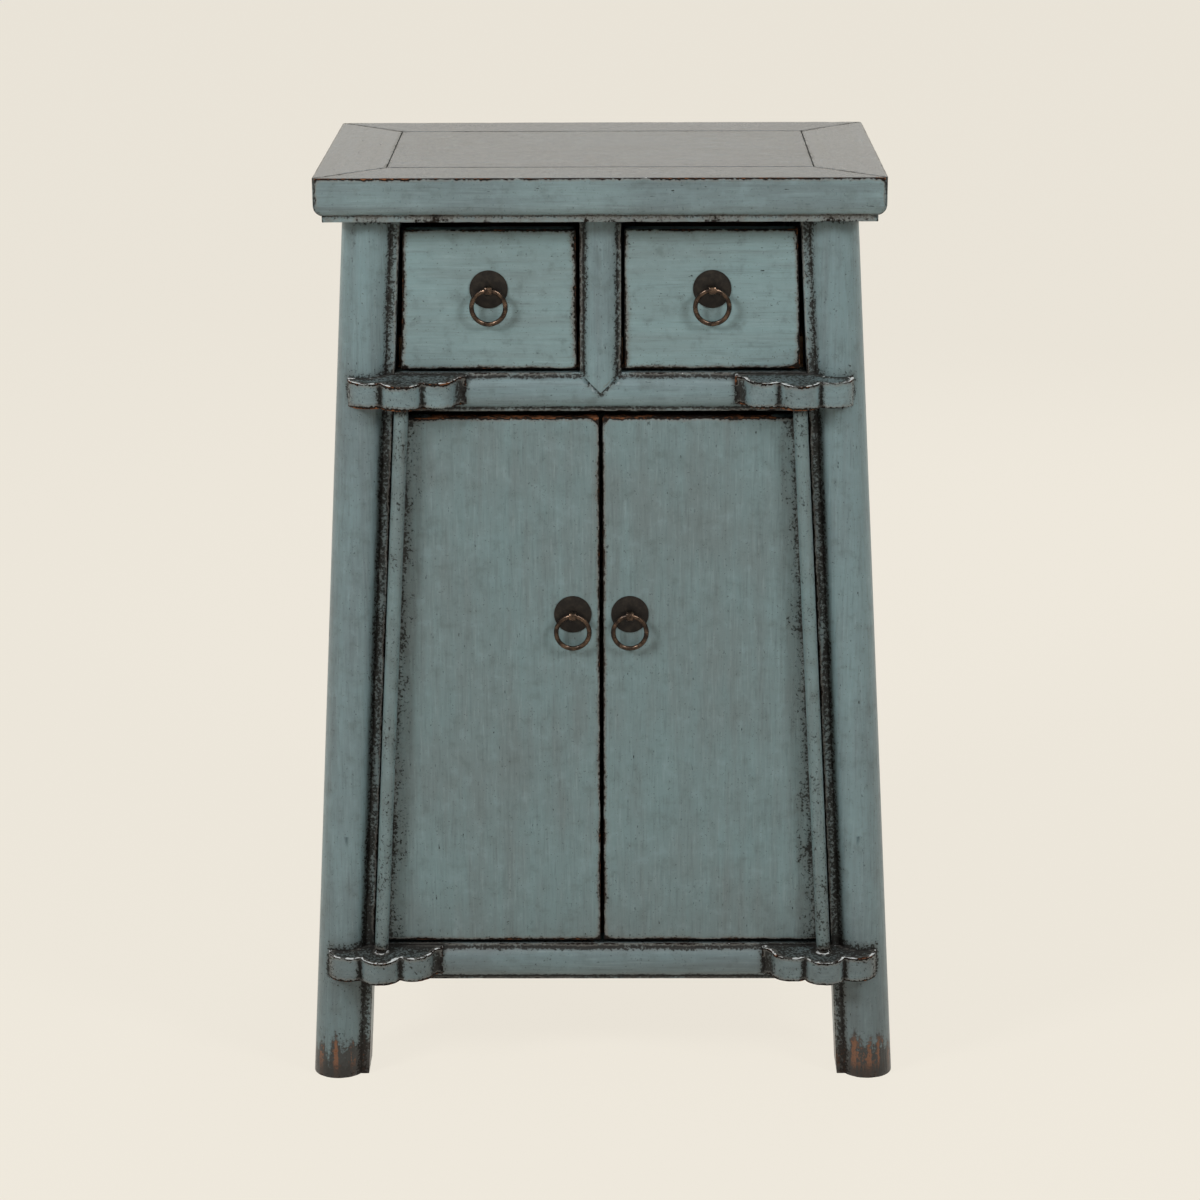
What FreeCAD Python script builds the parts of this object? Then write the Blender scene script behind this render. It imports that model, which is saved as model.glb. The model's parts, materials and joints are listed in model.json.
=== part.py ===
import FreeCAD, Part
import Sketcher
import math
import os

doc = FreeCAD.newDocument("side_table")

# Driving dimensions in millimetres. Heights are measured from the floor, insets and set-backs from
# the outermost line of the leaning posts at the same height.
SIZES = [
    ("overall_height", 844),
    ("top_width", 500),
    ("top_depth", 345),
    ("top_thick", 40),
    ("top_member", 61),
    ("top_lip_inset", 7.5),
    ("top_lip_height", 6),
    ("top_curve_height", 11),
    ("top_curve_sag", 1.6),
    ("top_corner", 5),
    ("top_panel_thick", 14),
    ("top_panel_gap", 0.4),
    ("top_tongue", 8),
    ("top_tongue_thick", 6),
    ("top_batten_width", 40),
    ("top_batten_thick", 18),
    ("top_batten_let_in", 3),
    ("foot_width", 542),
    ("foot_depth", 353),
    ("head_width", 456),
    ("head_depth", 297),
    ("post_size", 52),
    ("post_round", 24),
    ("post_flat_set", 11),
    ("post_tenon_size", 22),
    ("post_tenon_inset", 14),
    ("post_tenon_length", 24),
    ("rail_height", 35),
    ("rail_depth", 28),
    ("rail_crown", 7),
    ("rail_strip", 3.5),
    ("plain_rail_thick", 22),
    ("low_rail_bottom", 94),
    ("drawer_space", 138.5),
    ("tenon_length", 18),
    ("tenon_thick", 10),
    ("tenon_shoulder", 7),
    ("tenon_set", 6),
    ("stile_half", 18.4),
    ("stile_foot_depth", 14),
    ("panel_set", 18),
    ("panel_thick", 10),
    ("panel_groove", 7),
    ("floor_thick", 10),
    ("floor_drop", 4),
    ("floor_groove", 4),
    ("pole_forward", 2),
    ("pole_inboard", 8),
    ("pole_radius", 6.5),
    ("pole_end_gap", 1),
    ("pin_radius", 4.5),
    ("pin_length", 12),
    ("pin_clearance", 0.3),
    ("pin_lift", 6),
    ("bracket_thick", 26.3),
    ("bracket_rise", 8.2),
    ("bracket_fall", 4.8),
    ("bracket_half", 48),
    ("bracket_toe", 57),
    ("bracket_cusp", 18),
    ("bracket_front", 26),
    ("bracket_cusp_front", 13.5),
    ("bracket_end_front", 3),
    ("bracket_lobe_sag", 8),
    ("bracket_sweep_sag", 2),
    ("bracket_back", 14),
    ("door_set", 10),
    ("door_thick", 18),
    ("door_low_gap", 4),
    ("door_high_gap", 5.5),
    ("door_side_gap", 1.7),
    ("door_meeting_gap", 3),
    ("door_meeting_bevel", 2.7),
    ("door_stile_inboard", 22),
    ("door_web_half", 4.5),
    ("door_batten_height", 34),
    ("door_batten_thick", 14),
    ("door_batten_let_in", 3),
    ("door_batten_margin", 60),
    ("door_batten_end_gap", 14),
    ("drawer_set", 12),
    ("drawer_front_thick", 18),
    ("drawer_low_gap", 3),
    ("drawer_high_gap", 11),
    ("drawer_inner_gap", 3),
    ("drawer_outer_gap_low", 6),
    ("drawer_outer_gap_high", 2.5),
    ("drawer_side_thick", 10),
    ("drawer_side_height", 100),
    ("drawer_lap", 10),
    ("drawer_back_gap", 5),
    ("drawer_back_housing", 4),
    ("drawer_floor_thick", 6),
    ("drawer_floor_rise", 8),
    ("drawer_floor_groove", 5),
    ("runner_thick", 16),
    ("runner_width", 26),
    ("runner_stub", 5),
    ("runner_play", 0.4),
    ("guide_thick", 8.5),
    ("guide_rise", 24),
    ("guide_play", 1),
    ("guide_post_gap", 0.6),
    ("plate_radius", 17),
    ("plate_edge", 0.8),
    ("plate_dome", 2.2),
    ("plate_dome_sag", 0.4),
    ("ring_radius", 15),
    ("ring_wire_radius", 2.15),
    ("eye_standoff", 9),
    ("eye_radius", 4.6),
    ("eye_hole_radius", 2.95),
    ("eye_width", 6.5),
    ("shank_thick", 3),
    ("clench_length", 13),
    ("clench_thick", 1.4),
    ("drawer_pull_from_middle", 98.8),
    ("drawer_pull_drop", 53),
    ("door_pull_from_middle", 25.8),
    ("door_pull_drop", 180.7),
]

# Places that follow from the sizes.
SPOTS = [
    ("post_top", "Size.overall_height - Size.top_thick"),
    ("lean_x", "(Size.foot_width - Size.head_width) / 2 / post_top"),
    ("lean_y", "(Size.foot_depth - Size.head_depth) / 2 / post_top"),
    ("pole_stretch", "sqrt(1 + lean_x * lean_x + lean_y * lean_y)"),
    ("post_round_end", "Size.post_round + sqrt(2 * Size.post_round * Size.post_flat_set"
                       " - Size.post_flat_set * Size.post_flat_set)"),
    ("low_rail_top", "Size.low_rail_bottom + Size.rail_height"),
    ("mid_rail_top", "post_top - Size.drawer_space"),
    ("mid_rail_bottom", "mid_rail_top - Size.rail_height"),
    ("high_rail_bottom", "post_top - Size.rail_height"),
    ("low_bracket_bottom", "Size.low_rail_bottom + Size.bracket_rise"),
    ("low_bracket_top", "low_bracket_bottom + Size.bracket_thick"),
    ("high_bracket_bottom", "mid_rail_bottom + Size.bracket_rise"),
    ("mid_y", "(Size.bracket_front - lean_y * (low_bracket_bottom + Size.bracket_thick / 2)) / 2"),
    ("door_bottom", "low_rail_top + Size.door_low_gap"),
    ("door_top", "mid_rail_bottom - Size.door_high_gap"),
    ("drawer_bottom", "mid_rail_top + Size.drawer_low_gap"),
    ("drawer_top", "post_top - Size.drawer_high_gap"),
    ("drawer_side_top", "drawer_bottom + Size.drawer_side_height"),
    ("drawer_inner_x", "0 - Size.stile_half - Size.drawer_inner_gap"),
    ("runner_top", "drawer_bottom - Size.runner_play"),
    ("guide_top", "runner_top + Size.guide_rise"),
    ("guide_outer_x", "guide_top * lean_x - Size.foot_width / 2 + Size.post_size + Size.guide_post_gap"),
    ("drawer_outer_x", "guide_outer_x + Size.guide_thick + Size.guide_play"),
    ("back_mid_rail_set", "Size.panel_set + Size.panel_thick + Size.plain_rail_thick"),
    ("drawer_back_y", "mid_y + Size.foot_depth / 2 - mid_rail_top * lean_y - back_mid_rail_set"
                      " - Size.drawer_back_gap"),
    ("top_panel_half_x", "Size.top_width / 2 - Size.top_member - Size.top_panel_gap"),
    ("top_panel_half_y", "Size.top_depth / 2 - Size.top_member - Size.top_panel_gap"),
    ("door_pull_height", "door_top - Size.door_pull_drop"),
    ("drawer_pull_height", "drawer_top - Size.drawer_pull_drop"),
]


def fill(name, rows):
    sheet = doc.addObject("Spreadsheet::Sheet", name)
    for row, (alias, content) in enumerate(rows, 1):
        sheet.set(f"A{row}", alias)
        sheet.set(f"B{row}", str(content))
        sheet.setAlias(f"B{row}", alias)
    doc.recompute()
    return sheet


size_sheet = fill("Size", SIZES)
spot_sheet = fill("Spot", [(alias, "=" + formula) for alias, formula in SPOTS])


def value(expression):
    return float(size_sheet.evalExpression(expression))


def bind(target, **expressions):
    for name, expression in expressions.items():
        target.setExpression(name.replace("__", "."), expression)


# Lines of the leaning carcass at a height: the left side, the front and the back, moved inward.
def left(height, inset):
    return f"(({height}) * Spot.lean_x - Size.foot_width / 2 + ({inset}))"


def right(height, inset):
    return f"(Size.foot_width / 2 - ({height}) * Spot.lean_x - ({inset}))"


def front(height, behind):
    return f"(Spot.mid_y + ({height}) * Spot.lean_y - Size.foot_depth / 2 + ({behind}))"


def back(height, before):
    return f"(Spot.mid_y + Size.foot_depth / 2 - ({height}) * Spot.lean_y - ({before}))"


def block(name, low, high, plan):
    """A straight-sided block between two heights; plan gives its x and y limits at a height."""
    wedge = doc.addObject("Part::Wedge", name)
    wedge.Placement.Rotation = FreeCAD.Rotation(FreeCAD.Vector(1, 0, 0), 90)
    x_low, x_high, y_low, y_high = plan(low)
    bind(wedge, Ymin=low, Xmin=x_low, Xmax=x_high, Zmin=f"-{y_high}", Zmax=f"-{y_low}")
    x_low, x_high, y_low, y_high = plan(high)
    bind(wedge, Ymax=high, X2min=x_low, X2max=x_high, Z2min=f"-{y_high}", Z2max=f"-{y_low}")
    return wedge


def cut(base, *tools):
    for tool in tools:
        result = doc.addObject("Part::Cut", base.Name + "_less")
        result.Base = base
        result.Tool = tool
        base = result
    return base


def common(base, tool):
    result = doc.addObject("Part::Common", base.Name + "_trim")
    result.Base = base
    result.Tool = tool
    return result


def fuse(*shapes):
    result = doc.addObject("Part::MultiFuse", shapes[0].Name + "_whole")
    result.Shapes = list(shapes)
    return result


def mirror(source, normal):
    result = doc.addObject("Part::Mirroring", source.Name + "_mirror")
    result.Source = source
    result.Normal = normal
    if normal.y:
        bind(result, Base__y="Spot.mid_y")
    return result


def drawn_body(name, plane, corners, bows=None):
    """A body holding one closed sketch, corner places in counter-clockwise order. A bow gives the
    rise of an arc over the side that starts at that corner, positive outward."""
    bows = bows or {}
    body = doc.addObject("PartDesign::Body", name)
    sketch = body.newObject("Sketcher::SketchObject", name + "_sketch")
    support = [item for item in body.Origin.OriginFeatures if item.Role == plane]
    sketch.AttachmentSupport = [(support[0], "")]
    sketch.MapMode = "FlatFace"
    count = len(corners)
    points = [FreeCAD.Vector(value(x), value(y), 0) for x, y in corners]
    ends = []
    for index in range(count):
        start = points[index]
        finish = points[(index + 1) % count]
        if index not in bows:
            sketch.addGeometry(Part.LineSegment(start, finish))
            ends.append((1, 2))
            continue
        rise = value(bows[index])
        run = finish - start
        outward = FreeCAD.Vector(run.y, -run.x, 0).normalize()
        crown = (start + finish) * 0.5 + outward * rise
        if rise > 0:
            sketch.addGeometry(Part.Arc(start, crown, finish))
            ends.append((1, 2))
        else:
            sketch.addGeometry(Part.Arc(finish, crown, start))
            ends.append((2, 1))
    for index in range(count):
        after = (index + 1) % count
        sketch.addConstraint(Sketcher.Constraint("Coincident", index, ends[index][1], after, ends[after][0]))
    for index, (x, y) in enumerate(corners):
        for kind, expression in (("DistanceX", x), ("DistanceY", y)):
            number = sketch.addConstraint(
                Sketcher.Constraint(kind, -1, 1, index, ends[index][0], value(expression)))
            sketch.setExpression(f"Constraints[{number}]", expression)
    for index, rise in bows.items():
        x_run = f"(({corners[(index + 1) % count][0]}) - ({corners[index][0]}))"
        y_run = f"(({corners[(index + 1) % count][1]}) - ({corners[index][1]}))"
        radius = f"(({x_run} * {x_run} + {y_run} * {y_run}) / 4 + ({rise}) * ({rise})) / (2 * abs({rise}))"
        number = sketch.addConstraint(Sketcher.Constraint("Radius", index, value(radius)))
        sketch.setExpression(f"Constraints[{number}]", radius)
    return body, sketch


def pad(body, sketch, length, lean=None, symmetric=False):
    feature = body.newObject("PartDesign::Pad", body.Name + "_pad")
    feature.Profile = sketch
    sketch.Visibility = False
    bind(feature, Length=length)
    if symmetric:
        feature.SideType = "Symmetric"
    if lean:
        feature.UseCustomVector = True
        bind(feature, Direction__x=lean[0], Direction__y=lean[1], Direction__z="1")
    return body


nodes = []
ACROSS = FreeCAD.Vector(1, 0, 0)
ALONG = FreeCAD.Vector(0, 1, 0)


def keep(label, shape):
    shape.Label = label
    nodes.append(shape)
    return shape


def keep_pair(label, shape):
    keep(label.replace("SIDE", "left"), shape)
    keep(label.replace("SIDE", "right"), mirror(shape, ACROSS))


# Panels and boards that stand in grooves of the carcass.
side_panel = block(
    "side_panel", "Spot.low_rail_top - Size.panel_groove", "Spot.high_rail_bottom + Size.panel_groove",
    lambda z: (left(z, "Size.panel_set"), left(z, "Size.panel_set + Size.panel_thick"),
               front(z, "Size.post_size - Size.panel_groove"), back(z, "Size.post_size - Size.panel_groove")))
back_panel = block(
    "back_board", "Spot.low_rail_top - Size.panel_groove", "Spot.high_rail_bottom + Size.panel_groove",
    lambda z: (left(z, "Size.post_size - Size.panel_groove"), right(z, "Size.post_size - Size.panel_groove"),
               back(z, "Size.panel_set + Size.panel_thick"), back(z, "Size.panel_set")))
PLAIN_INNER = "Size.post_flat_set + Size.plain_rail_thick - Size.floor_groove"
floor_blank = block(
    "floor_blank", "Spot.low_rail_top - Size.floor_drop - Size.floor_thick",
    "Spot.low_rail_top - Size.floor_drop",
    lambda z: (left(z, PLAIN_INNER), right(z, PLAIN_INNER),
               front(z, "Size.post_flat_set + Size.rail_depth - Size.floor_groove"), back(z, PLAIN_INNER)))

# One leaning post: a round outer corner, two set-back flats, a square inner part and a head tenon.
CORNER_X = "(0 - Size.foot_width / 2)"
CORNER_Y = "(Spot.mid_y - Size.foot_depth / 2)"
post_body, post_sketch = drawn_body(
    "post_blank", "XY_Plane",
    [(f"{CORNER_X} + Size.post_flat_set", f"{CORNER_Y} + Spot.post_round_end"),
     (f"{CORNER_X} + Spot.post_round_end", f"{CORNER_Y} + Size.post_flat_set"),
     (f"{CORNER_X} + Size.post_size", f"{CORNER_Y} + Size.post_flat_set"),
     (f"{CORNER_X} + Size.post_size", f"{CORNER_Y} + Size.post_size"),
     (f"{CORNER_X} + Size.post_flat_set", f"{CORNER_Y} + Size.post_size")],
    {0: "((Spot.post_round_end + Size.post_flat_set) / 2 - Size.post_round * (1 - sqrt(0.5))) * sqrt(2)"})
pad(post_body, post_sketch, "Spot.post_top", ("Spot.lean_x", "Spot.lean_y"))
head_x = [left("Spot.post_top", "Size.post_tenon_inset"),
          left("Spot.post_top", "Size.post_tenon_inset + Size.post_tenon_size")]
head_y = [front("Spot.post_top", "Size.post_tenon_inset"),
          front("Spot.post_top", "Size.post_tenon_inset + Size.post_tenon_size")]
head_tenon = block("head_tenon", "Spot.post_top - 2", "Spot.post_top + Size.post_tenon_length",
                   lambda z: (head_x[0], head_x[1], head_y[0], head_y[1]))
front_post = fuse(post_body, head_tenon)
back_post = mirror(front_post, ALONG)
front_post_right = mirror(front_post, ACROSS)
back_post_right = mirror(back_post, ACROSS)
floor_board = cut(floor_blank, front_post, back_post, front_post_right, back_post_right)
keep("floor_board", floor_board)
keep_pair("SIDE_side_panel", side_panel)
keep("back_panel", back_panel)
side_panel_right = nodes[-2]

# The stile between the drawers: the same half round, its pointed foot mitred into the middle rail.
STILE_FOOT = "(Spot.mid_rail_top - Size.rail_height / 2)"
STRIP_X = "(Size.stile_half - Size.rail_strip)"
stile_body, stile_sketch = drawn_body(
    "stile_blank", "XY_Plane",
    [("-Size.stile_half", front(STILE_FOOT, "Size.post_flat_set")),
     (f"-{STRIP_X}", front(STILE_FOOT, "Size.post_flat_set")),
     (STRIP_X, front(STILE_FOOT, "Size.post_flat_set")),
     ("Size.stile_half", front(STILE_FOOT, "Size.post_flat_set")),
     ("Size.stile_half", front(STILE_FOOT, "Size.post_flat_set + Size.rail_depth")),
     ("-Size.stile_half", front(STILE_FOOT, "Size.post_flat_set + Size.rail_depth"))],
    {1: "Size.rail_crown"})
pad(stile_body, stile_sketch, f"Spot.post_top - {STILE_FOOT}", ("0", "Spot.lean_y"))
bind(stile_body, Placement__Base__z=STILE_FOOT)
stile_upper = block("stile_upper", "Spot.mid_rail_top", "Spot.post_top",
                    lambda z: ("-Size.post_size", "Size.post_size",
                               front(z, "-Size.post_size"), front(z, "Size.post_size")))
stile_point = block(
    "stile_point", STILE_FOOT, "Spot.mid_rail_top",
    lambda z: (f"-0.1 - (({z}) - {STILE_FOOT}) / (Size.rail_height / 2) * (Size.stile_half - 0.1)",
               f"0.1 + (({z}) - {STILE_FOOT}) / (Size.rail_height / 2) * (Size.stile_half - 0.1)",
               front(z, "-Size.post_size"), front(z, "Size.post_flat_set + Size.stile_foot_depth")))
center_stile = common(stile_body, fuse(stile_upper, stile_point))
keep("center_stile", center_stile)

# Drawer runners: a ledge under the drawer's edge and a guide beside it, stubbed into two rails.
RUNNER_FRONT = "Size.post_flat_set + Size.rail_depth - Size.runner_stub"
RUNNER_BACK = "Spot.back_mid_rail_set - Size.runner_stub"
GUIDE_FRONT = "Size.post_flat_set + Size.rail_depth + Size.guide_play"
GUIDE_BACK = "Spot.back_mid_rail_set + Size.guide_play"
side_runner = fuse(
    block("side_runner", "Spot.runner_top - Size.runner_thick", "Spot.runner_top",
          lambda z: ("Spot.guide_outer_x", "Spot.guide_outer_x + Size.runner_width",
                     front(z, RUNNER_FRONT), back(z, RUNNER_BACK))),
    block("side_guide", "Spot.runner_top", "Spot.guide_top",
          lambda z: ("Spot.guide_outer_x", "Spot.guide_outer_x + Size.guide_thick",
                     front(z, GUIDE_FRONT), back(z, GUIDE_BACK))))
GUIDE_HALF = "(0 - Spot.drawer_inner_x - Size.guide_play)"
middle_runner = cut(fuse(
    block("middle_runner_ledge", "Spot.runner_top - Size.runner_thick", "Spot.runner_top",
          lambda z: (f"-{GUIDE_HALF} - Size.runner_width + Size.guide_thick",
                     f"{GUIDE_HALF} + Size.runner_width - Size.guide_thick",
                     front(z, RUNNER_FRONT), back(z, RUNNER_BACK))),
    block("middle_guide", "Spot.runner_top", "Spot.guide_top",
          lambda z: (f"-{GUIDE_HALF}", GUIDE_HALF, front(z, GUIDE_FRONT), back(z, GUIDE_BACK)))), center_stile)
keep_pair("SIDE_drawer_runner", side_runner)
keep("middle_drawer_runner", middle_runner)
side_runner_right = nodes[-2]


# Front rails: a half-round face between two narrow strips, with a tenon at each end.
def front_rail(name, bottom):
    top = f"({bottom} + Size.rail_height)"
    strip_low = f"({bottom} + Size.rail_strip)"
    strip_high = f"({bottom} + Size.rail_height - Size.rail_strip)"
    body, sketch = drawn_body(
        name, "YZ_Plane",
        [(front(bottom, "Size.post_flat_set"), bottom),
         (front(bottom, "Size.post_flat_set + Size.rail_depth"), bottom),
         (front(top, "Size.post_flat_set + Size.rail_depth"), top),
         (front(top, "Size.post_flat_set"), top),
         (front(strip_high, "Size.post_flat_set"), strip_high),
         (front(strip_low, "Size.post_flat_set"), strip_low)],
        {4: "Size.rail_crown"})
    pad(body, sketch, "Size.foot_width", symmetric=True)
    between = block(
        name + "_between", bottom, top,
        lambda z: (left(z, "Size.post_size"), right(z, "Size.post_size"),
                   front(z, "-Size.post_size"), front(z, "Size.post_size")))
    tenon = block(
        name + "_tenon", f"({bottom} + Size.tenon_shoulder)", f"({top} - Size.tenon_shoulder)",
        lambda z: (left(z, "Size.post_size - Size.tenon_length"),
                   right(z, "Size.post_size - Size.tenon_length"),
                   front(z, "Size.post_flat_set + Size.tenon_set"),
                   front(z, "Size.post_flat_set + Size.tenon_set + Size.tenon_thick")))
    return fuse(common(body, between), tenon)


mid_rail_blank = front_rail("mid_rail_blank", "Spot.mid_rail_bottom")
low_rail_blank = front_rail("low_rail_blank", "Size.low_rail_bottom")
mid_rail = keep("mid_rail", cut(mid_rail_blank, center_stile, side_runner, middle_runner, side_runner_right))
low_rail = keep("lower_rail", cut(low_rail_blank, floor_board))


# Plain rails of the sides and the back, each with a tenon that runs into the posts.
def side_rail(name, bottom):
    top = f"({bottom} + Size.rail_height)"
    return fuse(
        block(name, bottom, top,
              lambda z: (left(z, "Size.post_flat_set"), left(z, "Size.post_flat_set + Size.plain_rail_thick"),
                         front(z, "Size.post_size"), back(z, "Size.post_size"))),
        block(name + "_tenon", f"({bottom} + Size.tenon_shoulder)", f"({top} - Size.tenon_shoulder)",
              lambda z: (left(z, "Size.post_flat_set + Size.tenon_set"),
                         left(z, "Size.post_flat_set + Size.tenon_set + Size.tenon_thick"),
                         front(z, "Size.post_size - Size.tenon_length"),
                         back(z, "Size.post_size - Size.tenon_length"))))


def back_rail(name, bottom, set_back):
    top = f"({bottom} + Size.rail_height)"
    return fuse(
        block(name, bottom, top,
              lambda z: (left(z, "Size.post_size"), right(z, "Size.post_size"),
                         back(z, f"{set_back} + Size.plain_rail_thick"), back(z, set_back))),
        block(name + "_tenon", f"({bottom} + Size.tenon_shoulder)", f"({top} - Size.tenon_shoulder)",
              lambda z: (left(z, "Size.post_size - Size.tenon_length"),
                         right(z, "Size.post_size - Size.tenon_length"),
                         back(z, f"{set_back} + Size.tenon_set + Size.tenon_thick"),
                         back(z, f"{set_back} + Size.tenon_set"))))


high_side_rail = cut(side_rail("high_side_rail", "Spot.high_rail_bottom"), side_panel)
low_side_rail = cut(side_rail("low_side_rail", "Size.low_rail_bottom"), side_panel, floor_board)
keep_pair("SIDE_upper_side_rail", high_side_rail)
keep_pair("SIDE_lower_side_rail", low_side_rail)
high_back_rail = cut(back_rail("high_back_rail", "Spot.high_rail_bottom", "Size.post_flat_set"), back_panel)
mid_back_rail = cut(
    back_rail("mid_back_rail", "Spot.mid_rail_bottom", "Size.panel_set + Size.panel_thick"),
    side_runner, middle_runner, side_runner_right)
low_back_rail = cut(back_rail("low_back_rail", "Size.low_rail_bottom", "Size.post_flat_set"),
                    back_panel, floor_board)
keep("upper_back_rail", high_back_rail)
keep("middle_back_rail", mid_back_rail)
keep("lower_back_rail", low_back_rail)

front_post_cut = cut(front_post, mid_rail, low_rail, high_side_rail, low_side_rail, side_panel)
back_post_cut = cut(back_post, high_back_rail, mid_back_rail, low_back_rail, back_panel,
                    high_side_rail, low_side_rail, side_panel)
keep_pair("SIDE_front_post", front_post_cut)
keep_pair("SIDE_back_post", back_post_cut)

# Top: a moulded frame mitred at its corners around a tongued panel with one batten below.
TOP = "Size.overall_height"
LIP = "(Spot.post_top + Size.top_lip_height)"
CURVE = "(Spot.post_top + Size.top_lip_height + Size.top_curve_height)"


def top_profile(name, plane, outer, inner, length, sign):
    lip_x = f"{outer} {sign} Size.top_lip_inset"
    body, sketch = drawn_body(
        name, plane,
        [(inner, "Spot.post_top"), (inner, TOP), (outer, TOP), (outer, CURVE),
         (f"{lip_x} * 0.85", LIP), (lip_x, LIP), (lip_x, "Spot.post_top")],
        {3: "Size.top_curve_sag"})
    return pad(body, sketch, length, symmetric=True)


top_front_bar = top_profile(
    "top_front_bar", "YZ_Plane", "(Spot.mid_y - Size.top_depth / 2)",
    "(Spot.mid_y - Size.top_depth / 2 + Size.top_member)", "Size.top_width", "+")
top_left_bar = top_profile(
    "top_left_bar", "XZ_Plane", "(0 - Size.top_width / 2)",
    "(Size.top_member - Size.top_width / 2)", "Size.top_depth * 2", "+")
mitre_front = doc.addObject("Part::Wedge", "mitre_front")
bind(mitre_front, Xmin="-Size.top_width / 2", Xmax="Size.top_width / 2",
     X2min="Size.top_member - Size.top_width / 2", X2max="Size.top_width / 2 - Size.top_member",
     Ymin="Spot.mid_y - Size.top_depth / 2", Ymax="Spot.mid_y - Size.top_depth / 2 + Size.top_member",
     Zmin="Spot.post_top", Zmax=TOP, Z2min="Spot.post_top", Z2max=TOP)
mitre_left = doc.addObject("Part::Wedge", "mitre_left")
mitre_left.Placement.Rotation = FreeCAD.Rotation(FreeCAD.Vector(0, 0, 1), -90)
bind(mitre_left, Xmin="-Spot.mid_y - Size.top_depth / 2", Xmax="Size.top_depth / 2 - Spot.mid_y",
     X2min="Size.top_member - Size.top_depth / 2 - Spot.mid_y",
     X2max="Size.top_depth / 2 - Size.top_member - Spot.mid_y",
     Ymin="-Size.top_width / 2", Ymax="Size.top_member - Size.top_width / 2",
     Zmin="Spot.post_top", Zmax=TOP, Z2min="Spot.post_top", Z2max=TOP)
HALF_X = "Size.top_width / 2"
HALF_Y = "Size.top_depth / 2"
ROUND = "Size.top_corner"
top_plan, top_plan_sketch = drawn_body(
    "top_plan", "XY_Plane",
    [(f"{ROUND} - {HALF_X}", f"-{HALF_Y}"), (f"{HALF_X} - {ROUND}", f"-{HALF_Y}"),
     (HALF_X, f"{ROUND} - {HALF_Y}"), (HALF_X, f"{HALF_Y} - {ROUND}"),
     (f"{HALF_X} - {ROUND}", HALF_Y), (f"{ROUND} - {HALF_X}", HALF_Y),
     (f"-{HALF_X}", f"{HALF_Y} - {ROUND}"), (f"-{HALF_X}", f"{ROUND} - {HALF_Y}")],
    {index: f"{ROUND} * (1 - sqrt(0.5))" for index in (1, 3, 5, 7)})
pad(top_plan, top_plan_sketch, TOP)
bind(top_plan, Placement__Base__y="Spot.mid_y")
top_panel_blank = fuse(
    block("top_panel_face", "Size.overall_height - Size.top_panel_thick", TOP,
          lambda z: ("-Spot.top_panel_half_x", "Spot.top_panel_half_x",
                     "(Spot.mid_y - Spot.top_panel_half_y)", "(Spot.mid_y + Spot.top_panel_half_y)")),
    block("top_panel_tongue", "Size.overall_height - Size.top_panel_thick",
          "Size.overall_height - Size.top_panel_thick + Size.top_tongue_thick",
          lambda z: ("-Spot.top_panel_half_x - Size.top_tongue", "Spot.top_panel_half_x + Size.top_tongue",
                     "(Spot.mid_y - Spot.top_panel_half_y - Size.top_tongue)",
                     "(Spot.mid_y + Spot.top_panel_half_y + Size.top_tongue)")))
BATTEN_TOP = "(Size.overall_height - Size.top_panel_thick + Size.top_batten_let_in)"
top_batten = keep("top_batten", block(
    "top_batten_bar", f"({BATTEN_TOP} - Size.top_batten_thick)", BATTEN_TOP,
    lambda z: ("-Size.top_batten_width / 2", "Size.top_batten_width / 2",
               "(Spot.mid_y - Spot.top_panel_half_y - Size.top_tongue)",
               "(Spot.mid_y + Spot.top_panel_half_y + Size.top_tongue)")))
top_panel = keep("top_panel", cut(top_panel_blank, top_batten))
front_bar = cut(common(common(top_front_bar, mitre_front), top_plan),
                top_panel, top_batten, front_post, front_post_right)
left_bar = cut(common(common(top_left_bar, mitre_left), top_plan), top_panel, front_post, back_post)
keep("top_front_member", front_bar)
keep("top_back_member", mirror(front_bar, ALONG))
keep_pair("top_SIDE_member", left_bar)


# Door poles lean with the posts. A rod is a true cylinder on the left pole's line.
POLE_INSET = "(Size.post_size + Size.pole_inboard)"
POLE_BEHIND = "(0 - Size.pole_forward)"
pole_line = FreeCAD.Vector(value("Spot.lean_x"), value("Spot.lean_y"), 1)


def rod(name, radius, low, high):
    cylinder = doc.addObject("Part::Cylinder", name)
    cylinder.Placement.Rotation = FreeCAD.Rotation(FreeCAD.Vector(0, 0, 1), pole_line)
    bind(cylinder, Radius=radius, Height=f"(({high}) - ({low})) * Spot.pole_stretch",
         Placement__Base__x=left(low, POLE_INSET), Placement__Base__y=front(low, POLE_BEHIND),
         Placement__Base__z=low)
    return cylinder


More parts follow.
